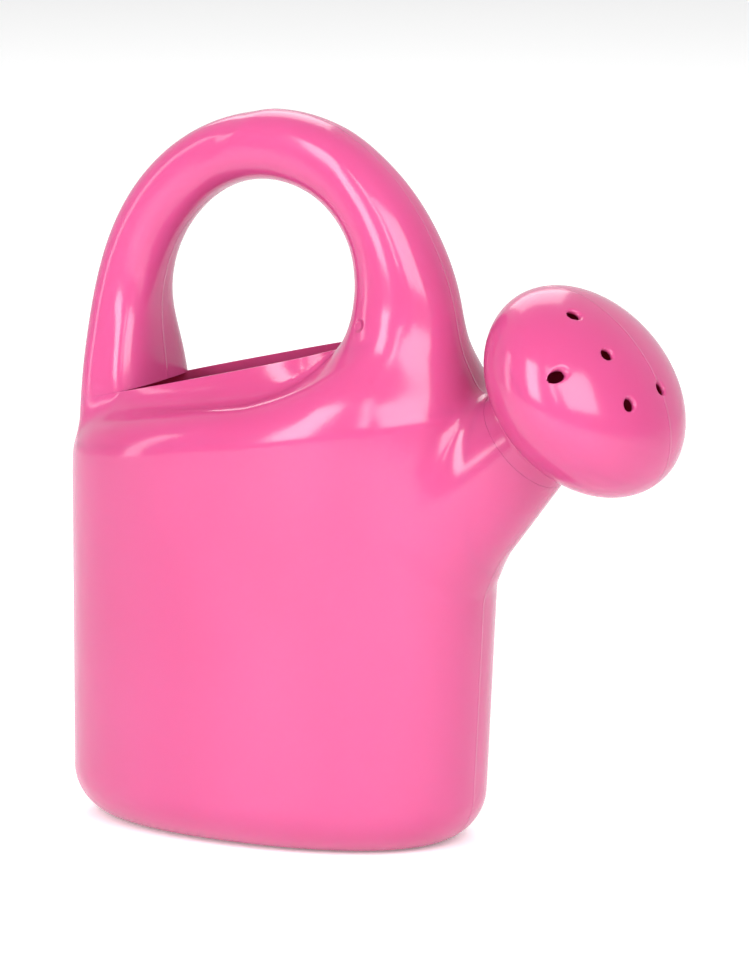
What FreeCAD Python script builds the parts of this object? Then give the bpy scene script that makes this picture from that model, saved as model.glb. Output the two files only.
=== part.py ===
import FreeCAD, Part
import math
import os

from FreeCAD import Placement, Rotation, Vector

# A child's watering can: a hollow oval tank, a deck with a tilted filler mouth, a tubular arch handle,
# a conical spout and a mushroom-shaped rose that pushes onto the spout's neck.
# +X points towards the spout, +Z is up, and the origin is the centre of the base's underside.

DIMENSIONS = (
    # alias, value in mm or degrees
    ("wall", 2.0),
    ("bottom_round", 16.0),
    # The tank's oval section at the base and at the shoulder
    ("base_half_length", 71.5),
    ("base_half_width", 44.5),
    ("upper_height", 175.0),
    ("upper_half_length", 75.8),
    ("upper_half_width", 48.4),
    ("upper_centre", 4.8),
    # The deck slopes up towards the spout, and the mouth is cut along a steeper plane
    ("deck_height", 142.5),
    ("deck_slope", 9.0),
    ("deck_round", 11.0),
    ("seam_drop", 9.0),
    ("collar_centre", -8.0),
    ("collar_height", 149.3),
    ("collar_slope", 15.5),
    ("collar_foot_length", 62.0),
    ("collar_foot_width", 35.0),
    ("collar_top_length", 55.0),
    ("collar_top_width", 24.5),
    ("collar_depth", 12.0),
    ("mouth_centre", -9.0),
    ("mouth_half_length", 34.0),
    ("mouth_half_width", 22.0),
    # The spout and the rose share one axis
    ("axis_x", 112.2),
    ("axis_z", 152.8),
    ("axis_rise", 40.0),
    ("spout_root_back", 72.0),
    ("spout_root_radius", 27.5),
    ("neck_back", 28.0),
    ("neck_radius", 18.0),
    ("stub_radius", 13.0),
    ("stub_length", 8.0),
    ("stub_play", 0.06),
    ("rose_radius", 37.0),
    ("rose_back_depth", 25.5),
    ("rose_face_depth", 24.0),
    ("joint_gap", 0.3),
    ("drip_hole_radius", 2.0),
)

# Centres of the drip holes on the rose's face: sideways, and up the face
DRIP_HOLES = ((-4.5, 21.0), (-9.0, 5.0), (-27.0, 9.5), (-14.0, -12.0), (4.5, -14.0))

# The handle's sections, from the rear leg's foot over the top to the front leg's foot:
# centre X, centre Z, direction of the tube in degrees from +X, half-size in the arch's plane, half-width
ARCH_SECTIONS = (
    (-53.0, 128.0, 90.0, 17.5, 20.0),
    (-53.8, 150.0, 91.0, 13.7, 19.5),
    (-53.0, 168.0, 84.0, 12.2, 15.5),
    (-46.5, 195.0, 63.0, 11.0, 12.5),
    (-27.0, 216.5, 32.0, 10.7, 11.7),
    (0.0, 223.4, -1.0, 11.2, 12.0),
    (26.0, 214.5, -37.0, 13.2, 14.5),
    (42.5, 195.0, -62.0, 15.2, 17.0),
    (49.8, 172.0, -80.0, 17.8, 19.0),
    (51.0, 150.0, -88.0, 21.0, 26.0),
    (50.5, 128.0, -90.0, 23.5, 30.0),
)

doc = FreeCAD.newDocument("watering_can")


def make_sheet():
    """Every driving dimension, one row each, under its own alias."""
    cells = doc.addObject("Spreadsheet::Sheet", "sheet")
    for row, (alias, value) in enumerate(DIMENSIONS, start=1):
        cells.set(f"A{row}", alias)
        cells.set(f"B{row}", str(value))
        cells.setAlias(f"B{row}", alias)
    doc.recompute()
    return cells


sheet = make_sheet()


def size(alias):
    """A dimension's value, for the code that can't take an expression."""
    return float(sheet.get(alias))


def add(kind, name, **expressions):
    """A new object whose properties are bound to the sheet."""
    made = doc.addObject(kind, name)
    for prop, expression in expressions.items():
        made.setExpression(prop, expression)
    return made


def place(thing, x=0.0, z=0.0, tilt=0.0):
    """Places a thing in the middle plane, turned about Y; a positive tilt lifts its +X end."""
    thing.Placement = Placement(Vector(x, 0, z), Rotation(Vector(0, 1, 0), -tilt))
    return thing


def oval(name, half_length, half_width):
    """An ellipse with its long axis along X."""
    return add("Part::Ellipse", name, MajorRadius=half_length, MinorRadius=half_width)


def loft(name, sections):
    """A solid between closed sections."""
    made = doc.addObject("Part::Loft", name)
    made.Sections = sections
    made.Solid = True
    made.Ruled = len(sections) == 2
    return made


def combine(kind, name, base, tool):
    """A Part::Cut or Part::Common of two objects."""
    made = doc.addObject(kind, name)
    made.Base = base
    made.Tool = tool
    made.Refine = False
    return made


def fuse(name, shapes):
    """A Part::MultiFuse of several objects, with its splitting edges removed."""
    made = doc.addObject("Part::MultiFuse", name)
    made.Shapes = shapes
    made.Refine = True
    return made


def edges_near(shape, height, slope, tolerance=1.0):
    """Numbers of the edges that lie in a plane that rises towards +X."""
    rise = math.tan(math.radians(slope))
    found = []
    for number, edge in enumerate(shape.Edges, start=1):
        points = edge.discretize(9)
        if all(abs(p.z - height - rise * p.x) < tolerance for p in points):
            found.append(number)
    return found


def rounded(name, base, radius, height, slope):
    """A fillet along the edges in one plane."""
    doc.recompute()
    made = doc.addObject("Part::Fillet", name)
    made.Base = base
    made.Edges = [(number, radius, radius) for number in edges_near(base.Shape, height, slope)]
    doc.recompute()
    return made


def slab_above(name, x, z, tilt):
    """A big block whose underside is a plane through (x, z), tilted about Y."""
    reach = 400.0
    made = doc.addObject("Part::Box", name)
    made.Length = reach
    made.Width = reach
    made.Height = reach
    turn = Rotation(Vector(0, 1, 0), -tilt)
    made.Placement = Placement(Vector(x, 0, z), turn).multiply(
        Placement(Vector(-reach / 2, -reach / 2, 0), Rotation())
    )
    return made


def tank_form(name, inset):
    """The closed oval form of tank and deck, drawn in by inset on every side."""
    foot = oval(name + "_foot", f"sheet.base_half_length - {inset}", f"sheet.base_half_width - {inset}")
    place(foot, 0, inset)
    head = oval(name + "_head", f"sheet.upper_half_length - {inset}", f"sheet.upper_half_width - {inset}")
    place(head, size("upper_centre"), size("upper_height"))
    tall = loft(name + "_tall", [foot, head])
    lift = size("deck_height") - inset
    above = slab_above(name + "_above", 0, lift, size("deck_slope"))
    cut = combine("Part::Cut", name + "_level", tall, above)
    top = rounded(name + "_top", cut, size("deck_round") - inset, lift, size("deck_slope"))
    return rounded(name + "_form", top, size("bottom_round") - inset, inset, 0.0)


def collar_form(name, inset):
    """The low oval dome that carries the mouth, cut off flat along the mouth's plane."""
    foot = oval(
        name + "_foot", f"sheet.collar_foot_length - {inset}", f"sheet.collar_foot_width - {inset}"
    )
    head = oval(
        name + "_head", f"sheet.collar_top_length - {inset}", f"sheet.collar_top_width - {inset}"
    )
    tilt = size("collar_slope")
    along = Vector(math.cos(math.radians(tilt)), 0, math.sin(math.radians(tilt)))
    normal = Vector(-along.z, 0, along.x)
    centre = Vector(size("collar_centre"), 0, size("collar_height"))
    low = centre - normal * size("collar_depth")
    place(foot, low.x, low.z, tilt)
    top = centre - normal * inset
    place(head, top.x, top.z, tilt)
    return loft(name, [foot, head])


def arch_form(name, inset):
    """The handle's tube as a smooth solid through its sections, drawn in by inset."""
    rings = []
    for number, (x, z, heading, half_height, half_width) in enumerate(ARCH_SECTIONS):
        ring = doc.addObject("Part::Ellipse", f"{name}_ring_{number}")
        ring.setExpression("MajorRadius", f"{max(half_height, half_width)} - {inset}")
        ring.setExpression("MinorRadius", f"{min(half_height, half_width)} - {inset}")
        # The ellipse's normal follows the tube, and its long axis lies across the arch's plane
        turn = Rotation(Vector(0, 1, 0), 90.0 - heading).multiply(Rotation(Vector(0, 0, 1), 90.0))
        ring.Placement = Placement(Vector(x, 0, z), turn)
        rings.append(ring)
    made = doc.addObject("Part::Loft", name)
    made.Sections = rings
    made.Solid = True
    made.Ruled = False
    return made


def axis_placement(distance):
    """A placement on the spout's axis, its Z along the axis, at a distance from the rose's centre."""
    rise = math.radians(size("axis_rise"))
    along = Vector(math.cos(rise), 0, math.sin(rise))
    centre = Vector(size("axis_x"), 0, size("axis_z")) + along * distance
    return Placement(centre, Rotation(Vector(0, 1, 0), 90.0 - size("axis_rise")))


def cone(name, back, length, back_radius, front_radius):
    """A cone along the spout's axis; each size is an expression."""
    made = add(
        "Part::Cone", name, Height=length, Radius1=back_radius, Radius2=front_radius
    )
    made.Placement = axis_placement(-back)
    return made


def spout_cones(name, inset):
    """The spout's outer form, or its bore when it is drawn in."""
    return cone(
        name,
        size("spout_root_back"),
        "sheet.spout_root_back - sheet.neck_back",
        f"sheet.spout_root_radius - {inset}",
        f"sheet.neck_radius - {inset}",
    )


def make_tank_and_deck(outer, inner, arch):
    """Splits the shell along a plane just under the deck, and opens the spout's hole and the mouth."""
    shell = combine("Part::Cut", "shell", outer, inner)
    bore = spout_cones("spout_hole", "sheet.wall")
    holed = combine("Part::Cut", "shell_with_hole", shell, bore)
    seam = slab_above("seam", 0, size("deck_height") - size("seam_drop"), size("deck_slope"))
    tank = combine("Part::Cut", "tank", holed, seam)

    above = combine("Part::Common", "deck_shell", holed, doc.copyObject(seam))
    collar_inside = collar_form("collar_inside", size("wall"))
    collar = combine("Part::Cut", "collar_wall", collar_form("collar", 0.0), collar_inside)
    ring = combine("Part::Cut", "collar_ring", collar, inner)
    deck = fuse("deck_with_collar", [combine("Part::Cut", "deck_ring", above, collar_inside), ring])
    hole = oval("mouth_outline", "sheet.mouth_half_length", "sheet.mouth_half_width")
    place(hole, size("mouth_centre"), 0)
    drill = doc.addObject("Part::Extrusion", "mouth_drill")
    drill.Base = hole
    drill.Dir = Vector(0, 0, 1)
    drill.LengthFwd = size("upper_height")
    drill.Solid = True
    clear = combine("Part::Cut", "mouth_opening", drill, arch)
    opened = combine("Part::Cut", "filler_deck", deck, clear)
    return tank, opened


def make_handle(outer, collar, arch, arch_bore):
    """The tubular handle, open at both feet, ending where it meets the deck and its collar."""
    above_deck = combine("Part::Cut", "arch_above_deck", arch, outer)
    above_collar = combine("Part::Cut", "arch_above_collar", above_deck, collar)
    return combine("Part::Cut", "arch_handle", above_collar, arch_bore)


def tube_on_axis(name, start, length, radius):
    """A cylinder along the spout's axis, from a start distance; length and radius are expressions."""
    made = add("Part::Cylinder", name, Height=length, Radius=radius)
    made.Placement = axis_placement(start)
    return made


def make_spout(outer, arch):
    """The hollow cone from the tank's front wall to the neck, with a stub that the rose pushes onto."""
    tip = -size("neck_back")
    reach = "sheet.stub_length + sheet.wall"
    stub = tube_on_axis("stub", tip - size("wall"), reach, "sheet.stub_radius")
    body = fuse("spout_outside", [spout_cones("spout_cone", 0.0), stub])
    cavity = cone(
        "spout_cavity",
        size("spout_root_back"),
        "sheet.spout_root_back - sheet.neck_back - sheet.wall",
        "sheet.spout_root_radius - sheet.wall",
        "sheet.neck_radius - sheet.wall",
    )
    bore = tube_on_axis(
        "stub_bore",
        tip - 2 * size("wall"),
        "sheet.stub_length + 3 * sheet.wall",
        "sheet.stub_radius - sheet.wall",
    )
    hollow = combine("Part::Cut", "spout_tube", body, fuse("spout_inside", [cavity, bore]))
    clear_of_handle = combine("Part::Cut", "spout_below_handle", hollow, arch)
    return combine("Part::Cut", "spout", clear_of_handle, outer)


def half_bulb(name, depth, radius, front):
    """Half an ellipsoid about the spout's axis: its front half, or its back half."""
    made = add("Part::Ellipsoid", name, Radius1=depth, Radius2=radius, Radius3=radius)
    made.Angle1 = 0.0 if front else -90.0
    made.Angle2 = 90.0 if front else 0.0
    made.Placement = axis_placement(0.0)
    return made


def make_rose_back():
    """The back half of the rose: a bulb that narrows to a collar around the spout's stub."""
    back = size("neck_back") - size("joint_gap")
    bulb = half_bulb("back_outside", "sheet.rose_back_depth", "sheet.rose_radius", False)
    collar = cone(
        "back_collar",
        back,
        "sheet.neck_back - sheet.joint_gap - sheet.rose_back_depth / 2",
        "sheet.neck_radius - 0.3",
        "sheet.neck_radius + 9",
    )
    body = fuse("back_solid", [bulb, collar])
    hollow = half_bulb(
        "back_inside", "sheet.rose_back_depth - sheet.wall", "sheet.rose_radius - sheet.wall", False
    )
    cup = combine("Part::Cut", "back_cup", body, hollow)
    sleeve = tube_on_axis("back_sleeve", -back, "sheet.stub_length", "sheet.stub_radius + sheet.wall")
    bore = tube_on_axis(
        "back_bore", -back - 1.0, "sheet.neck_back", "sheet.stub_radius + sheet.stub_play"
    )
    return combine("Part::Cut", "rose_back", fuse("back_with_sleeve", [cup, sleeve]), bore)


def make_rose_face():
    """The domed front of the rose with its drip holes, which all run along the spout's axis."""
    dome = half_bulb("face_outside", "sheet.rose_face_depth", "sheet.rose_radius", True)
    hollow = half_bulb(
        "face_inside", "sheet.rose_face_depth - sheet.wall", "sheet.rose_radius - sheet.wall", True
    )
    shell = combine("Part::Cut", "face_shell", dome, hollow)
    drills = []
    for number, (sideways, upwards) in enumerate(DRIP_HOLES, start=1):
        drill = tube_on_axis(
            f"drip_drill_{number}", 0.0, "2 * sheet.rose_face_depth", "sheet.drip_hole_radius"
        )
        offset = Placement(Vector(-upwards, sideways, 0), Rotation())
        drill.Placement = axis_placement(0.0).multiply(offset)
        drills.append(drill)
    return combine("Part::Cut", "rose_face", shell, fuse("drip_drills", drills))


def check_and_write(parts):
    """Stops on a failed object or a broken shape, then writes one STEP file for each sub-part."""
    doc.recompute()
    failed = [o.Name for o in doc.Objects if "Invalid" in o.State or "Error" in o.State]
    if failed:
        raise RuntimeError(f"objects that failed: {failed}")
    os.makedirs("parts", exist_ok=True)
    for part in parts:
        shape = part.Shape
        if shape.isNull() or not shape.isValid() or not 0 < shape.Volume < form.Shape.Volume:
            raise RuntimeError(f"{part.Label} has no valid solid")
        box = shape.BoundBox
        print(
            f"{part.Label}: {len(shape.Solids)} solid, {shape.Volume:.0f} mm3, "
            f"X {box.XMin:.1f} {box.XMax:.1f} Y {box.YMin:.1f} {box.YMax:.1f} "
            f"Z {box.ZMin:.1f} {box.ZMax:.1f}"
        )
        shape.exportStep(f"parts/{part.Label}.step")


form = tank_form("outer", 0.0)
cavity_form = tank_form("inner", size("wall"))
arch_outside = arch_form("arch_outside", 0.0)
arch_inside = arch_form("arch_inside", size("wall"))
tank, filler_deck = make_tank_and_deck(form, cavity_form, arch_outside)
handle = make_handle(form, doc.getObject("collar"), arch_outside, arch_inside)
spout = make_spout(form, arch_outside)
check_and_write([tank, filler_deck, handle, spout, make_rose_back(), make_rose_face()])
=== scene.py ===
"""Pink toy watering can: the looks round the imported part.

The outside of the can is one smooth form, written as distance functions in millimetres.
It is meshed and cut along planes into the part's own pieces, and each piece gets its wall.
The rose's face is written as a wall from the start. Ring-shaped ends are turned from profiles.
"""
import math

import bmesh
import bpy
import numpy as np
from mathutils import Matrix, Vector


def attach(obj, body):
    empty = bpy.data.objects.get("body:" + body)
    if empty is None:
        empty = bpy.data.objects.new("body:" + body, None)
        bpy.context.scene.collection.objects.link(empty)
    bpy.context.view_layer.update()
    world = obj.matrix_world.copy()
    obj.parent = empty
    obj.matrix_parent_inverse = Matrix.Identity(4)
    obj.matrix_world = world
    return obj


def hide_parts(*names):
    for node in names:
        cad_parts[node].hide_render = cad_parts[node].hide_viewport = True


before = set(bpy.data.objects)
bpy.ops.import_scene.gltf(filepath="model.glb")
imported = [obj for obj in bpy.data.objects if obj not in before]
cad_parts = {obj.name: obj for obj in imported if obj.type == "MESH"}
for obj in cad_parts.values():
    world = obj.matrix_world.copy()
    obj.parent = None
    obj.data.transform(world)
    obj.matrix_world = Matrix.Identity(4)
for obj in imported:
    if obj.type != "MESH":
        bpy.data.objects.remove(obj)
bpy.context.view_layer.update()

MM = 0.001
WALL = 2.0
STEP = 1.5
ROSE_STEP = 0.75

# The tank: half-sizes at the base, how each side leans, and where its ends turn inwards.
BASE_LENGTH = 71.5
BASE_WIDTH = 44.45
FRONT_LEAN = math.tan(math.radians(3.0))
REAR_LEAN = -math.tan(math.radians(0.3))
SIDE_LEAN = math.tan(math.radians(1.35))
LEAN_TOP = 125.0
FRONT_TURN = 120.0
FRONT_LEAN_BACK = 0.0036
REAR_TURN = 112.0
REAR_LEAN_BACK = 0.0038
PLAN_POWER = 2.14
BOTTOM_ROUND = 16.0
DECK_ROUND = 13.0

# The sloping top of the tank, and the plane that the mouth is cut along.
DECK_SLOPE = math.radians(9.0)
DECK_HEIGHT = 142.5
CUT_SLOPE = math.radians(14.0)
CUT_HEIGHT = 153.4
CUT_TILT = 0.008
SEAM_DROP = 9.0
PAD_DRAFT = math.radians(76.0)
RIM_WALL = 1.0
RIM_DEPTH = 6.0
MOUTH_CENTRE = -16.0
MOUTH_LENGTH = 44.0
MOUTH_WIDTH = 24.0
MOUTH_POWER = 3.0

# Fillets between the forms, and how widely the handle's foot spreads.
ARCH_FILLET = 2.5
PLAN_FILLET = 1.5
PAD_FILLET = 10.0
SPOUT_FILLET = 7.0
FLARE_REAR = 2.0
FLARE_FRONT = 48.0
FLARE_FADE = 20.0

# The arch handle: X, Z, half-size in the arch's plane, half-size across it, squareness.
ARCH = np.array([
    (-53.2, 122.0, 14.0, 21.0, 3.4),
    (-54.2, 150.0, 11.6, 19.8, 3.0),
    (-54.4, 168.0, 10.6, 15.0, 2.6),
    (-46.2, 195.0, 10.3, 12.0, 2.3),
    (-26.2, 215.7, 10.3, 11.4, 2.3),
    (0.0, 223.0, 10.65, 11.8, 2.3),
    (26.4, 214.8, 11.0, 12.6, 2.3),
    (42.6, 196.0, 12.4, 14.8, 2.3),
    (48.6, 180.0, 14.2, 15.6, 2.3),
    (52.0, 166.0, 14.3, 14.8, 2.3),
    (52.3, 148.0, 15.0, 15.0, 2.3),
    (52.0, 122.0, 16.0, 16.0, 2.3),
])

# The spout and the rose share an axis that rises at 40 degrees.
RISE = math.radians(40.0)
ROSE_CENTRE = np.array([112.2, 0.0, 152.8])
AXIS = np.array([math.cos(RISE), 0.0, math.sin(RISE)])
ACROSS = np.array([0.0, 1.0, 0.0])
UPWARD = np.array([-math.sin(RISE), 0.0, math.cos(RISE)])
ROOT_BACK = 72.0
ROOT_RADIUS = 27.3
NECK_BACK = 28.0
NECK_RADIUS = 18.0
TAPER = (ROOT_RADIUS - NECK_RADIUS) / (ROOT_BACK - NECK_BACK)
ROSE_RADIUS = 37.0
BACK_DEPTH = 25.5
FACE_DEPTH = 23.95
STUB_RADIUS = 13.0
STUB_LENGTH = 8.0
SPOUT_EDGE = 79.6
DIMPLE = (0.0400, -0.0176, 0.1700)
HOLE_RADIUS = 2.0
HOLES = ((-12.7, 18.5), (-15.0, 1.9), (-31.4, 3.7), (-16.6, -15.0), (0.6, -14.4))

# The finish: the lighter and deeper pink, and the bump's parting line and dimple, in metres.
PINK_LIGHT = (0.56, 0.078, 0.232, 1.0)
PINK_DEEP = (0.52, 0.062, 0.198, 1.0)
PARTING_WIDTH = 0.0007
DIMPLE_INNER = 0.0012
DIMPLE_OUTER = 0.0026

# The camera and the studio, in metres.
TARGET = Vector((0.0226, 0.0237, 0.1116))
CAMERA_CENTRE = Vector((0.0, 0.0, 0.070))
CAMERA_ROUND = math.radians(30.0)
CAMERA_UP = math.radians(12.0)
CAMERA_AWAY = 2.5
CAMERA_LENS = 289.4
FLOOR_SIZE = 6.0
FLOOR_CELLS = 24

# Each light: name, azimuth, elevation, distance, width, height, power.
LIGHTS = (
    ("window_right", -34.0, 33.0, 1.4, 0.95, 0.85, 19.0),
    ("window_strip", -66.0, 36.0, 1.5, 0.10, 0.90, 3.0),
    ("window_left", -98.0, 30.0, 1.4, 0.42, 1.10, 15.0),
    ("left_strip", -150.0, 15.0, 1.6, 0.25, 1.1, 4.0),
    ("rear_fill", 125.0, 40.0, 1.8, 1.0, 1.0, 9.0),
)

# The corners of one grid cell.
CORNERS = [(i, j, k) for i in (0, 1) for j in (0, 1) for k in (0, 1)]


# ---------------------------------------------------------------- distance functions

def smooth_step(value, start, end):
    t = np.clip((value - start) / (end - start), 0.0, 1.0)
    return t * t * (3.0 - 2.0 * t)


def smooth_min(a, b, k):
    """The nearer of two surfaces, with a fillet of reach k where they meet."""
    h = np.maximum(k - np.abs(a - b), 0.0) / k
    return np.minimum(a, b) - h * h * k * 0.25


def round_max(a, b, r):
    """Where both forms overlap, with the edge between them rounded to radius r."""
    corner = np.hypot(np.maximum(a + r, 0.0), np.maximum(b + r, 0.0))
    return np.minimum(np.maximum(a, b), -r) + corner


def superellipse(x, y, a, b, power):
    u = np.abs(x) / a
    v = np.abs(y) / b
    total = u ** power + v ** power + 1e-9
    steep = np.hypot(u ** (power - 1) / a, v ** (power - 1) / b)
    steep = steep * total ** (1.0 / power - 1.0)
    return (total ** (1.0 / power) - 1.0) / np.maximum(steep, 1e-4)


def natural_spline(knots, rows, at):
    """A natural cubic spline through rows, one row for each knot, read at the places `at`."""
    count = len(knots)
    gap = np.diff(knots)[:, None]
    rate = np.diff(rows, axis=0) / gap
    system = np.eye(count)
    right = np.zeros_like(rows)
    for i in range(1, count - 1):
        system[i, i - 1] = gap[i - 1, 0]
        system[i, i] = 2.0 * (gap[i - 1, 0] + gap[i, 0])
        system[i, i + 1] = gap[i, 0]
        right[i] = 6.0 * (rate[i] - rate[i - 1])
    bend = np.linalg.solve(system, right)
    i = np.clip(np.searchsorted(knots, at) - 1, 0, count - 2)
    u = (at - knots[i])[:, None]
    g = gap[i]
    w = g - u
    cubic = (bend[i] * w ** 3 + bend[i + 1] * u ** 3) / (6.0 * g)
    low = (rows[i] / g - bend[i] * g / 6.0) * w
    high = (rows[i + 1] / g - bend[i + 1] * g / 6.0) * u
    return cubic + low + high


def arch_samples():
    """The handle's centre line and half-sizes, every half millimetre along it."""
    span = np.hypot(*np.diff(ARCH[:, :2], axis=0).T)
    knots = np.concatenate([[0.0], np.cumsum(span)])
    at = np.arange(0.0, knots[-1], 0.5)
    rows = natural_spline(knots, ARCH, at)
    along = np.gradient(rows[:, :2], at, axis=0)
    along /= np.linalg.norm(along, axis=1)[:, None]
    return at, np.column_stack([rows, along])


ARCH_AT, ARCH_ROWS = arch_samples()


def arch_column(at, column):
    """One column of the handle's samples, read at places along it."""
    return np.interp(at, ARCH_AT, ARCH_ROWS[:, column])


def arch_offset(at, x, z):
    """How far points are from the centre line at those places, along it and across it."""
    dx = x - arch_column(at, 0)
    dz = z - arch_column(at, 1)
    tx = arch_column(at, 5)
    tz = arch_column(at, 6)
    return dx * tx + dz * tz, dz * tx - dx * tz


def arch_distance(x, y, z):
    x, z = np.broadcast_arrays(np.asarray(x, float), np.asarray(z, float))
    coarse = ARCH_ROWS[::8]
    reach = np.hypot(x[..., None] - coarse[:, 0], z[..., None] - coarse[:, 1])
    at = ARCH_AT[::8][np.argmin(reach, axis=-1)]
    for _ in range(6):
        at = np.clip(at + arch_offset(at, x, z)[0], 0.0, ARCH_AT[-1])
    across = arch_offset(at, x, z)[1]
    return superellipse(across, y, arch_column(at, 2), arch_column(at, 3), arch_column(at, 4))


def cut_height(x, y):
    return CUT_HEIGHT + math.tan(CUT_SLOPE) * x + CUT_TILT * y


def above_cut(x, y, z):
    return (z - cut_height(x, y)) * math.cos(CUT_SLOPE)


def above_deck(x, z):
    return (z - DECK_HEIGHT - math.tan(DECK_SLOPE) * x) * math.cos(DECK_SLOPE)


def tank_side(x, y, z):
    height = np.clip(z, 0.0, LEAN_TOP)
    front = BASE_LENGTH + FRONT_LEAN * height
    front = front - FRONT_LEAN_BACK * np.maximum(z - FRONT_TURN, 0.0) ** 2
    rear = BASE_LENGTH + REAR_LEAN * height
    rear = rear - REAR_LEAN_BACK * np.maximum(z - REAR_TURN, 0.0) ** 2
    length = rear + (front - rear) * (x > 0)
    return superellipse(x, y, length, BASE_WIDTH + SIDE_LEAN * height, PLAN_POWER)


def flare_reach(x):
    """How widely the handle's foot spreads: crisp at the rear leg, wide at the front leg."""
    spread = FLARE_FRONT * smooth_step(x, -20.0, 15.0)
    fade = FLARE_FADE * smooth_step(x, 32.0, 68.0)
    return FLARE_REAR + spread - fade


def along_spout(x, y, z):
    back = (x - ROSE_CENTRE[0]) * AXIS[0] + (z - ROSE_CENTRE[2]) * AXIS[2]
    out = np.hypot(y, (x - ROSE_CENTRE[0]) * UPWARD[0] + (z - ROSE_CENTRE[2]) * UPWARD[2])
    return back, out


def spout_distance(x, y, z):
    back, out = along_spout(x, y, z)
    cone = (out - NECK_RADIUS + TAPER * (back + NECK_BACK)) / math.hypot(1.0, TAPER)
    return round_max(cone, -back - ROOT_BACK, 4.0)


def upper_form(x, y, z):
    """The handle with its flared foot, standing on the sloping top of the tank."""
    arch = arch_distance(x, y, z)
    foot = smooth_min(arch, above_deck(x, z), flare_reach(x))
    return smooth_min(round_max(tank_side(x, y, z), foot, DECK_ROUND), arch, ARCH_FILLET)


def lower_form(x, y, z):
    """The tank, its top, the raised pad that the mouth is cut through, and the spout."""
    side = tank_side(x, y, z)
    arch = arch_distance(x, y, z)
    deck = above_deck(x, z)
    mouth = superellipse(x - MOUTH_CENTRE, y, MOUTH_LENGTH, MOUTH_WIDTH, MOUTH_POWER)
    plan = smooth_min(mouth, arch_distance(x, y, cut_height(x, y)), PLAN_FILLET)
    pad = plan * math.sin(PAD_DRAFT) + above_cut(x, y, z) * math.cos(PAD_DRAFT)
    top = smooth_min(deck, pad, PAD_FILLET)
    top = smooth_min(top, smooth_min(arch, deck, flare_reach(x)), PLAN_FILLET)
    solid = smooth_min(round_max(side, top, DECK_ROUND), arch, ARCH_FILLET)
    solid = round_max(solid, -z, BOTTOM_ROUND)
    return smooth_min(solid, spout_distance(x, y, z), SPOUT_FILLET)


def half_bulb(back, out, depth):
    scaled = np.sqrt((back / depth) ** 2 + (out / ROSE_RADIUS) ** 2 + 1e-9)
    steep = np.sqrt((back / depth ** 2) ** 2 + (out / ROSE_RADIUS ** 2) ** 2 + 1e-12)
    return scaled * (scaled - 1.0) / steep


def rose_back_form(x, y, z):
    back, out = along_spout(x, y, z)
    bulb = half_bulb(back, out, BACK_DEPTH)
    neck = out - NECK_RADIUS + TAPER * (back + NECK_BACK)
    neck = round_max(neck, -back - NECK_BACK - 6.0, 1.0)
    neck = np.maximum(neck, back)
    return smooth_min(bulb, neck, 1.6)


def rose_face_form(x, y, z):
    """The face as a wall of its own, with the drip holes let through it."""
    back, out = along_spout(x, y, z)
    bulb = half_bulb(back, out, FACE_DEPTH)
    wall = np.maximum(bulb, -(bulb + WALL))
    up = (x - ROSE_CENTRE[0]) * UPWARD[0] + (z - ROSE_CENTRE[2]) * UPWARD[2]
    for across, height in HOLES:
        hole = HOLE_RADIUS - np.hypot(y - across, up - height)
        wall = -smooth_min(-wall, -np.maximum(hole, -6.0), 1.0)
    return wall


# ---------------------------------------------------------------- meshing

def slope_of(form, points, h=0.3):
    """The form's value and its gradient at each point, from four close samples."""
    total = np.zeros(len(points))
    slope = np.zeros_like(points)
    for corner in ((1, -1, -1), (-1, -1, 1), (-1, 1, -1), (1, 1, 1)):
        k = np.array(corner, float)
        value = form(*(points + h * k).T)
        slope += value[:, None] * k
        total += value
    return total / 4.0, slope / (4.0 * h)


def settle(form, points, rounds, h=0.3):
    for _ in range(rounds):
        value, slope = slope_of(form, points, h)
        size = np.maximum((slope ** 2).sum(1), 0.05)
        move = slope * (value / size)[:, None]
        length = np.linalg.norm(move, axis=1)[:, None]
        points = points - move * np.minimum(1.0, 1.0 / np.maximum(length, 1e-9))
    return points


def crossed_cells(inside):
    """Which grid cells have corners on both sides of the surface."""
    cells = tuple(n - 1 for n in inside.shape)
    count = np.zeros(cells, int)
    for i, j, k in CORNERS:
        count += inside[i:i + cells[0], j:j + cells[1], k:k + cells[2]]
    return (count > 0) & (count < 8)


def cell_points(value, where):
    """In each crossed cell, the middle of the places where its edges meet the surface."""
    place = np.zeros((len(where), 3))
    hits = np.zeros(len(where))
    for start in CORNERS:
        for axis in range(3):
            if start[axis]:
                continue
            end = list(start)
            end[axis] = 1
            a = value[tuple((where + start).T)]
            b = value[tuple((where + end).T)]
            crossed = (a < 0) != (b < 0)
            share = np.where(crossed, a / np.where(crossed, a - b, 1.0), 0.0)
            spot = where + np.array(start, float)
            spot[:, axis] += share
            place += spot * crossed[:, None]
            hits += crossed
    return place / hits[:, None]


def crossing_quads(inside, name, axis):
    """A quad round every grid edge along the axis that passes through the surface."""
    a, b = (axis + 1) % 3, (axis + 2) % 3
    first = [slice(None)] * 3
    second = [slice(None)] * 3
    first[axis] = slice(0, -1)
    second[axis] = slice(1, None)
    starts = inside[tuple(first)]
    at = np.argwhere(starts != inside[tuple(second)])
    keep = (at[:, a] > 0) & (at[:, b] > 0)
    keep &= (at[:, a] < name.shape[a]) & (at[:, b] < name.shape[b])
    at = at[keep]
    corners = []
    for da, db in ((1, 1), (0, 1), (0, 0), (1, 0)):
        cell = at.copy()
        cell[:, a] -= da
        cell[:, b] -= db
        corners.append(name[tuple(cell.T)])
    quad = np.stack(corners, 1)
    outward = starts[tuple(at.T)]
    quad[~outward] = quad[~outward][:, ::-1]
    return quad


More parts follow.
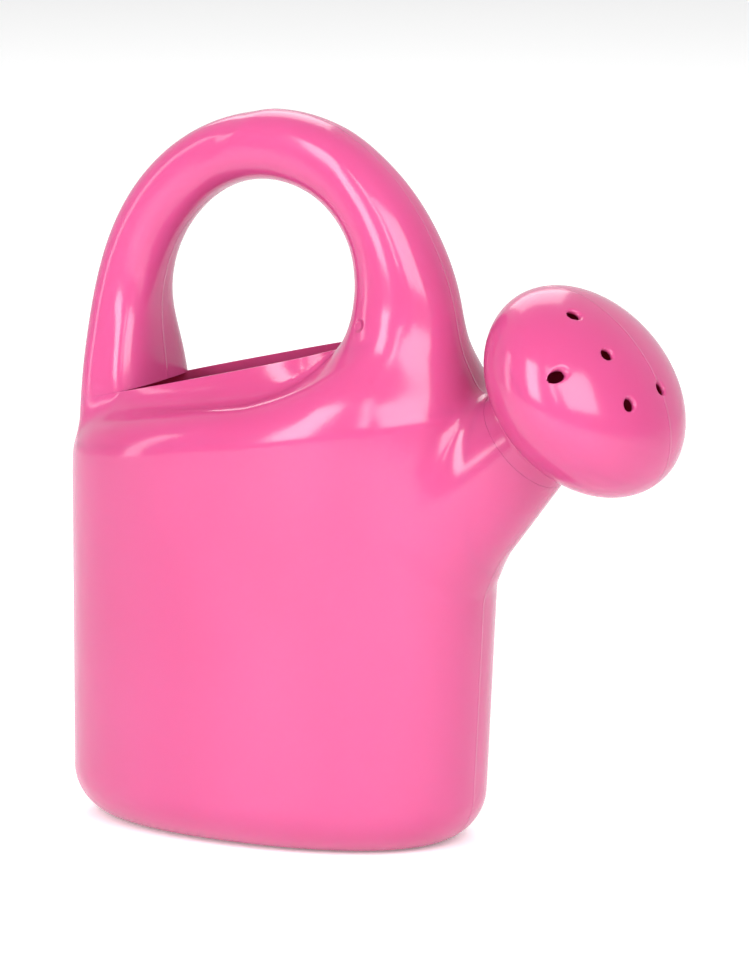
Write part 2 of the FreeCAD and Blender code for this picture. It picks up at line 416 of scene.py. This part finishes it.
def surface_net(form, low, high, step):
    """Quads over the surface where form is zero, one corner in each crossed cell."""
    axes = [np.arange(a, b + step, step) for a, b in zip(low, high)]
    value = form(axes[0][:, None, None], axes[1][None, :, None], axes[2][None, None, :])
    inside = value < 0
    mixed = crossed_cells(inside)
    where = np.argwhere(mixed)
    name = np.full(mixed.shape, -1)
    name[mixed] = np.arange(len(where))
    points = np.array(low) + cell_points(value, where) * step
    quads = [crossing_quads(inside, name, axis) for axis in range(3)]
    return points, np.concatenate(quads)


def relax(form, points, quads, rounds=3, h=0.3):
    """Evens out the corners along the surface and sets them back on it."""
    ring = np.concatenate([quads[:, [0, 1]], quads[:, [1, 2]], quads[:, [2, 3]], quads[:, [3, 0]]])
    degree = np.maximum(np.bincount(ring.ravel(), minlength=len(points)), 1)
    points = settle(form, points, 2, h)
    for _ in range(rounds):
        total = np.zeros_like(points)
        for axis in range(3):
            total[:, axis] += np.bincount(ring[:, 0], points[ring[:, 1], axis], len(points))
            total[:, axis] += np.bincount(ring[:, 1], points[ring[:, 0], axis], len(points))
        points = points * 0.4 + total / degree[:, None] * 0.6
        points = settle(form, points, 1, h)
    return settle(form, points, 3, h)


def to_bmesh(points, quads):
    mesh = bpy.data.meshes.new("net")
    mesh.from_pydata(points, [], quads.tolist())
    body = bmesh.new()
    body.from_mesh(mesh)
    bpy.data.meshes.remove(mesh)
    return body


def slice_mesh(body, origin, normal, drop_above=False, drop_below=False):
    geometry = body.verts[:] + body.edges[:] + body.faces[:]
    bmesh.ops.bisect_plane(
        body, geom=geometry, dist=0.02, plane_co=origin, plane_no=normal,
        clear_outer=drop_above, clear_inner=drop_below,
    )


def renumbered(count, used):
    """New numbers for the corners that are used, and -1 for the rest."""
    new = np.full(count, -1)
    new[used] = np.arange(len(used))
    return new


def patch_of(body, wanted):
    """The corners and faces of the part of a mesh whose face centres are wanted."""
    body.verts.index_update()
    faces = [[v.index for v in f.verts] for f in body.faces]
    points = np.array([v.co for v in body.verts])
    centres = np.array([points[f].mean(0) for f in faces])
    kept = [f for f, keep in zip(faces, wanted(centres)) if keep]
    used = np.unique(np.concatenate([np.array(f) for f in kept]))
    new = renumbered(len(points), used)
    return points[used], [[int(new[i]) for i in f] for f in kept]


def open_edges(faces):
    seen = set()
    for f in faces:
        for a, b in zip(f, f[1:] + f[:1]):
            seen.add((a, b))
    return [(a, b) for a, b in seen if (b, a) not in seen]


def level_inner(points, normals, inner, origin, plane_normal):
    """Close below a cut the wall turns to be measured inside the plane of the cut."""
    across = normals - (normals @ plane_normal)[:, None] * plane_normal
    length = np.maximum(np.linalg.norm(across, axis=1)[:, None], 1e-6)
    level = points - across / length * RIM_WALL
    depth = np.abs((points - origin) @ plane_normal)
    share = np.clip(1.0 - depth / RIM_DEPTH, 0.0, 1.0)[:, None]
    return inner * (1.0 - share) + level * share


def walled(points, faces, normals, flat_planes):
    """Gives an open skin its wall: the skin, the same skin inside it, and a rim between."""
    count = len(points)
    inner = points - normals * WALL
    for origin, plane_normal in flat_planes:
        inner = level_inner(points, normals, inner, origin, plane_normal)
    all_faces = [list(f) for f in faces]
    all_faces += [[i + count for i in reversed(f)] for f in faces]
    smooth = [True] * len(all_faces)
    loop_normals = [normals[i] for f in faces for i in f]
    loop_normals += [-normals[i] for f in faces for i in reversed(f)]
    for a, b in open_edges(faces):
        all_faces.append([b, a, a + count, b + count])
        smooth.append(False)
        loop_normals += [np.zeros(3)] * 4
    return np.concatenate([points, inner]), all_faces, smooth, loop_normals


def lathe(profile, sides=128):
    """A closed ring round the spout's axis from a loop of (along, out) corners."""
    turn = np.arange(sides) * 2.0 * math.pi / sides
    points = []
    for along, out in profile:
        ring = ROSE_CENTRE + AXIS * along
        ring = ring + out * (np.cos(turn)[:, None] * ACROSS + np.sin(turn)[:, None] * UPWARD)
        points.append(ring)
    rows = len(profile)
    faces = []
    for i in range(rows):
        for j in range(sides):
            k = (j + 1) % sides
            n = (i + 1) % rows
            faces.append([i * sides + j, i * sides + k, n * sides + k, n * sides + j])
    return np.concatenate(points), faces


def join_parts(parts):
    """Puts (points, faces, smooth, loop normals) together into one."""
    points, faces, smooth, normals = [], [], [], []
    start = 0
    for p, f, s, n in parts:
        points.append(p)
        faces += [[i + start for i in face] for face in f]
        smooth += s
        normals += n
        start += len(p)
    return np.concatenate(points), faces, smooth, normals


def ring_part(profile):
    points, faces = lathe(profile)
    corners = sum(len(f) for f in faces)
    return points, faces, [False] * len(faces), [np.zeros(3)] * corners


def piece(name, part, body, node, material):
    points, faces, smooth, normals = part
    mesh = bpy.data.meshes.new(name)
    mesh.from_pydata(points * MM, [], faces)
    mesh.polygons.foreach_set("use_smooth", smooth)
    mesh.normals_split_custom_set([tuple(n) for n in normals])
    mesh.materials.append(material)
    mesh.update()
    thing = bpy.data.objects.new(name, mesh)
    bpy.context.scene.collection.objects.link(thing)
    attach(thing, body)
    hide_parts(node)


def unit_normals(form, points, h=0.3):
    slope = slope_of(form, points, h)[1]
    return slope / np.maximum(np.linalg.norm(slope, axis=1), 1e-9)[:, None]


# ---------------------------------------------------------------- the finish

def link(tree, source, target):
    tree.links.new(source, target)


def maths(tree, operation, a, b=None, c=None):
    node = tree.nodes.new("ShaderNodeMath")
    node.operation = operation
    for socket, value in zip(node.inputs, (a, b, c)):
        if value is None:
            continue
        if isinstance(value, (int, float)):
            socket.default_value = value
        else:
            link(tree, value, socket)
    return node.outputs[0]


def noise(tree, vector, scale, detail, squeeze):
    mapping = tree.nodes.new("ShaderNodeMapping")
    mapping.inputs["Scale"].default_value = squeeze
    link(tree, vector, mapping.inputs["Vector"])
    texture = tree.nodes.new("ShaderNodeTexNoise")
    texture.inputs["Scale"].default_value = scale
    texture.inputs["Detail"].default_value = detail
    link(tree, mapping.outputs["Vector"], texture.inputs["Vector"])
    return texture.outputs["Fac"]


def blotched_pink(tree, place):
    """The pink, drifting slowly between its lighter and deeper tone."""
    patches = noise(tree, place, 14.0, 2.0, (1.0, 1.0, 0.6))
    ramp = tree.nodes.new("ShaderNodeValToRGB")
    ramp.color_ramp.elements[0].position = 0.3
    ramp.color_ramp.elements[1].position = 0.7
    ramp.color_ramp.elements[0].color = PINK_DEEP
    ramp.color_ramp.elements[1].color = PINK_LIGHT
    link(tree, patches, ramp.inputs["Fac"])
    return ramp.outputs["Color"]


def with_parting_line(tree, place, height):
    """Adds the mould's fine ridge in the middle plane to a height."""
    split = tree.nodes.new("ShaderNodeSeparateXYZ")
    link(tree, place, split.inputs[0])
    offset = maths(tree, "ABSOLUTE", split.outputs["Y"])
    ridge = maths(tree, "SUBTRACT", 1.0, maths(tree, "DIVIDE", offset, PARTING_WIDTH))
    ridge = maths(tree, "MAXIMUM", ridge, 0.0)
    return maths(tree, "MULTIPLY_ADD", ridge, 0.22, height)


def with_dimple(tree, place, height):
    """Adds the small round dimple on the handle's front leg to a height."""
    near = tree.nodes.new("ShaderNodeVectorMath")
    near.operation = "DISTANCE"
    near.inputs[1].default_value = DIMPLE
    link(tree, place, near.inputs[0])
    pit = tree.nodes.new("ShaderNodeMapRange")
    pit.interpolation_type = "SMOOTHSTEP"
    pit.inputs["From Min"].default_value = DIMPLE_INNER
    pit.inputs["From Max"].default_value = DIMPLE_OUTER
    pit.inputs["To Min"].default_value = 1.0
    pit.inputs["To Max"].default_value = 0.0
    link(tree, near.outputs["Value"], pit.inputs["Value"])
    return maths(tree, "MULTIPLY_ADD", pit.outputs["Result"], -1.2, height)


def moulded_relief(tree, place):
    """Bump from soft flow ripples, fine grain, the parting line and the dimple."""
    ripple = noise(tree, place, 38.0, 1.5, (1.0, 1.0, 0.55))
    grain = noise(tree, place, 900.0, 2.0, (1.0, 1.0, 1.0))
    height = maths(tree, "MULTIPLY_ADD", grain, 0.012, maths(tree, "MULTIPLY", ripple, 0.9))
    height = with_parting_line(tree, place, height)
    height = with_dimple(tree, place, height)
    bump = tree.nodes.new("ShaderNodeBump")
    bump.inputs["Strength"].default_value = 1.0
    bump.inputs["Distance"].default_value = 0.0006
    link(tree, height, bump.inputs["Height"])
    return bump.outputs["Normal"]


def let_light_through(tree, shader, colour):
    """Mixes a little translucence into the shader, as in a thin pink wall."""
    glow = tree.nodes.new("ShaderNodeBsdfTranslucent")
    link(tree, colour, glow.inputs["Color"])
    mix = tree.nodes.new("ShaderNodeMixShader")
    mix.inputs[0].default_value = 0.16
    link(tree, shader.outputs[0], mix.inputs[1])
    link(tree, glow.outputs[0], mix.inputs[2])
    link(tree, mix.outputs[0], tree.nodes["Material Output"].inputs["Surface"])


def pink_plastic(name):
    """Glossy blow-moulded plastic."""
    material = bpy.data.materials.new(name)
    material.use_nodes = True
    tree = material.node_tree
    shader = tree.nodes["Principled BSDF"]
    place = tree.nodes.new("ShaderNodeTexCoord").outputs["Object"]
    colour = blotched_pink(tree, place)
    link(tree, colour, shader.inputs["Base Color"])
    smudge = noise(tree, place, 60.0, 4.0, (1.0, 1.0, 1.0))
    link(tree, maths(tree, "MULTIPLY_ADD", smudge, 0.07, 0.13), shader.inputs["Roughness"])
    link(tree, moulded_relief(tree, place), shader.inputs["Normal"])
    let_light_through(tree, shader, colour)
    shader.inputs["IOR"].default_value = 1.5
    shader.inputs["Subsurface Weight"].default_value = 0.25
    shader.inputs["Subsurface Radius"].default_value = (1.0, 0.35, 0.5)
    shader.inputs["Subsurface Scale"].default_value = 0.004
    return material


def floor_material():
    material = bpy.data.materials.new("pale_floor")
    material.use_nodes = True
    tree = material.node_tree
    shader = tree.nodes["Principled BSDF"]
    place = tree.nodes.new("ShaderNodeTexCoord").outputs["Object"]
    speckle = noise(tree, place, 3.0, 2.0, (1.0, 1.0, 1.0))
    ramp = tree.nodes.new("ShaderNodeValToRGB")
    ramp.color_ramp.elements[0].color = (0.90, 0.90, 0.90, 1.0)
    ramp.color_ramp.elements[1].color = (0.94, 0.94, 0.94, 1.0)
    link(tree, speckle, ramp.inputs["Fac"])
    link(tree, ramp.outputs["Color"], shader.inputs["Base Color"])
    shader.inputs["Roughness"].default_value = 0.6
    shader.inputs["Emission Color"].default_value = (1.0, 1.0, 1.0, 1.0)
    shader.inputs["Emission Strength"].default_value = 0.22
    return material


# ---------------------------------------------------------------- the pieces

CUT_ORIGIN = np.array([0.0, 0.0, CUT_HEIGHT])
CUT_NORMAL = np.array([-math.tan(CUT_SLOPE), -CUT_TILT, 1.0])
CUT_NORMAL /= np.linalg.norm(CUT_NORMAL)
SEAM_ORIGIN = np.array([0.0, 0.0, DECK_HEIGHT - SEAM_DROP])
SEAM_NORMAL = np.array([-math.sin(DECK_SLOPE), 0.0, math.cos(DECK_SLOPE)])
EDGE_ORIGIN = np.array([SPOUT_EDGE, 0.0, 0.0])
EDGE_NORMAL = np.array([1.0, 0.0, 0.0])
SPOUT_END = -NECK_BACK - 0.05


def build_can(material):
    low, high = (-78.0, -53.0, -3.0), (103.0, 53.0, 176.0)
    points, quads = surface_net(lower_form, low, high, STEP)
    points = relax(lower_form, points, quads)
    body = to_bmesh(points, quads)
    neck = ROSE_CENTRE + AXIS * SPOUT_END
    slice_mesh(body, CUT_ORIGIN, CUT_NORMAL, drop_above=True)
    slice_mesh(body, neck, AXIS)
    slice_mesh(body, EDGE_ORIGIN, EDGE_NORMAL)
    slice_mesh(body, SEAM_ORIGIN, SEAM_NORMAL)

    def is_past_neck(c):
        along, out = along_spout(c[:, 0], c[:, 1], c[:, 2])
        return (along > SPOUT_END) & (out < NECK_RADIUS + 3.0)

    def is_spout(c):
        return (c[:, 0] > SPOUT_EDGE) & ~is_past_neck(c)

    def is_deck(c):
        above = (c - SEAM_ORIGIN) @ SEAM_NORMAL > 0
        return above & (c[:, 0] <= SPOUT_EDGE) & ~is_past_neck(c)

    def is_tank(c):
        below = (c - SEAM_ORIGIN) @ SEAM_NORMAL <= 0
        return below & (c[:, 0] <= SPOUT_EDGE) & ~is_past_neck(c)

    flats = [(CUT_ORIGIN, CUT_NORMAL)]
    for name, wanted in (("tank", is_tank), ("filler_deck", is_deck), ("spout", is_spout)):
        skin, faces = patch_of(body, wanted)
        part = walled(skin, faces, unit_normals(lower_form, skin), flats)
        if name == "spout":
            part = join_parts([part, ring_part(stub_profile())])
        piece("can_" + name, part, "can", name, material)
    body.free()


def stub_profile():
    """The spout's flat end and the stub that the rose is pushed on to."""
    shoulder = SPOUT_END
    bore = STUB_RADIUS - WALL
    tip = shoulder + STUB_LENGTH
    back = shoulder - WALL
    outer = NECK_RADIUS - 1.0
    return [
        (back, bore), (tip - 0.3, bore), (tip, bore + 0.3), (tip, STUB_RADIUS - 0.5),
        (tip - 0.5, STUB_RADIUS), (shoulder, STUB_RADIUS), (shoulder, outer), (back, outer),
    ]


def build_handle(material):
    low, high = (-78.0, -53.0, 125.0), (86.0, 53.0, 238.0)
    points, quads = surface_net(upper_form, low, high, STEP)
    points = relax(upper_form, points, quads)
    body = to_bmesh(points, quads)
    slice_mesh(body, CUT_ORIGIN - CUT_NORMAL * 0.05, CUT_NORMAL, drop_below=True)
    skin, faces = patch_of(body, lambda c: c[:, 2] > 0)
    body.free()
    flats = [(CUT_ORIGIN, CUT_NORMAL)]
    part = walled(skin, faces, unit_normals(upper_form, skin), flats)
    piece("can_arch_handle", part, "can", "arch_handle", material)


def socket_profile():
    """The rose's neck: a flat end and a socket that slides over the spout's stub."""
    start = -NECK_BACK + 0.02
    bore = STUB_RADIUS + 0.06
    end = start + STUB_LENGTH + 1.5
    outer = NECK_RADIUS - 2.2
    return [
        (start, bore + 0.4), (start + 0.4, bore), (end, bore), (end, outer), (start, outer),
    ]


def build_rose_back(material):
    centre = ROSE_CENTRE
    low = centre - np.array([46.0, 40.0, 46.0])
    high = centre + np.array([40.0, 40.0, 40.0])
    points, quads = surface_net(rose_back_form, low, high, STEP * 0.75)
    points = relax(rose_back_form, points, quads)
    body = to_bmesh(points, quads)
    slice_mesh(body, centre + AXIS * 0.04, AXIS, drop_above=True)
    slice_mesh(body, centre + AXIS * (0.02 - NECK_BACK), AXIS, drop_below=True)
    skin, faces = patch_of(body, lambda c: c[:, 2] > 0)
    body.free()
    part = walled(skin, faces, unit_normals(rose_back_form, skin), [])
    part = join_parts([part, ring_part(socket_profile())])
    piece("rose_back_shell", part, "rose", "rose_back", material)


def build_rose_face(material):
    centre = ROSE_CENTRE
    low = centre - np.array([34.0, 38.5, 32.0])
    high = centre + np.array([34.0, 38.5, 36.0])
    points, quads = surface_net(rose_face_form, low, high, ROSE_STEP)
    ahead = (points - centre) @ AXIS > -3.0
    kept = quads[ahead[quads].all(1)]
    used = np.unique(kept)
    points, quads = points[used], renumbered(len(points), used)[kept]
    points = relax(rose_face_form, points, quads, 2, 0.15)
    body = to_bmesh(points, quads)
    slice_mesh(body, centre, AXIS, drop_below=True)
    rim = [e for e in body.edges if e.is_boundary]
    count = len(body.faces)
    bmesh.ops.bridge_loops(body, edges=rim)
    body.faces.ensure_lookup_table()
    body.verts.index_update()
    skin = np.array([v.co for v in body.verts])
    faces = [[v.index for v in f.verts] for f in body.faces]
    body.free()
    normals = unit_normals(rose_face_form, skin, 0.15)
    smooth = [i < count for i in range(len(faces))]
    loops = []
    for f, is_smooth in zip(faces, smooth):
        loops += [normals[i] if is_smooth else np.zeros(3) for i in f]
    part = (skin, faces, smooth, loops)
    piece("rose_face_shell", part, "rose", "rose_face", material)


# ---------------------------------------------------------------- floor, lights, camera

def build_floor():
    count = FLOOR_CELLS
    at = np.linspace(-FLOOR_SIZE / 2, FLOOR_SIZE / 2, count + 1)
    points = [(x, y, 0.0) for x in at for y in at]
    faces = []
    for i in range(count):
        for j in range(count):
            a = i * (count + 1) + j
            faces.append((a, a + count + 1, a + count + 2, a + 1))
    mesh = bpy.data.meshes.new("floor")
    mesh.from_pydata(points, [], faces)
    mesh.materials.append(floor_material())
    floor = bpy.data.objects.new("floor", mesh)
    bpy.context.scene.collection.objects.link(floor)


def softbox(name, azimuth, elevation, distance, width, height, power):
    """A flat light, azimuth measured from +X towards +Y, facing the can."""
    lamp = bpy.data.lights.new(name, "AREA")
    lamp.shape = "RECTANGLE"
    lamp.size = width
    lamp.size_y = height
    lamp.energy = power
    thing = bpy.data.objects.new(name, lamp)
    a, e = math.radians(azimuth), math.radians(elevation)
    way = Vector((math.cos(a) * math.cos(e), math.sin(a) * math.cos(e), math.sin(e)))
    thing.location = TARGET + way * distance
    thing.rotation_euler = way.to_track_quat("Z", "Y").to_euler()
    bpy.context.scene.collection.objects.link(thing)


def build_lights():
    for light in LIGHTS:
        softbox(*light)


def build_world():
    """A white backdrop behind the can, and a dimmer pale room on the other sides."""
    world = bpy.data.worlds.new("studio")
    world.use_nodes = True
    tree = world.node_tree
    background = tree.nodes["Background"]
    way = tree.nodes.new("ShaderNodeTexCoord").outputs["Generated"]
    turned = tree.nodes.new("ShaderNodeVectorMath")
    turned.operation = "DOT_PRODUCT"
    turned.inputs[1].default_value = (-0.49, 0.85, 0.0)
    link(tree, way, turned.inputs[0])
    shade = tree.nodes.new("ShaderNodeMapRange")
    shade.interpolation_type = "SMOOTHSTEP"
    shade.inputs["From Min"].default_value = 0.0
    shade.inputs["From Max"].default_value = 0.9
    shade.inputs["To Min"].default_value = 0.36
    shade.inputs["To Max"].default_value = 1.0
    link(tree, turned.outputs["Value"], shade.inputs["Value"])
    link(tree, shade.outputs["Result"], background.inputs["Strength"])
    background.inputs["Color"].default_value = (1.0, 1.0, 1.0, 1.0)
    bpy.context.scene.world = world
    bpy.context.scene.view_settings.view_transform = "Standard"


def build_camera():
    lens = bpy.data.cameras.new("camera")
    lens.lens = CAMERA_LENS
    lens.sensor_width = 36.0
    lens.clip_end = 20.0
    camera = bpy.data.objects.new("camera", lens)
    a, e = CAMERA_ROUND, CAMERA_UP
    back = Vector((math.sin(a) * math.cos(e), -math.cos(a) * math.cos(e), math.sin(e)))
    camera.location = CAMERA_CENTRE + back * CAMERA_AWAY
    away = camera.location - TARGET
    camera.rotation_euler = away.to_track_quat("Z", "Y").to_euler()
    bpy.context.scene.collection.objects.link(camera)
    bpy.context.scene.camera = camera


def build_all():
    can_pink = pink_plastic("pink_plastic")
    rose_pink = pink_plastic("rose_plastic")
    build_can(can_pink)
    build_handle(can_pink)
    build_rose_back(rose_pink)
    build_rose_face(rose_pink)
    build_floor()
    build_lights()
    build_world()
    build_camera()


def main():
    build_all()


main()
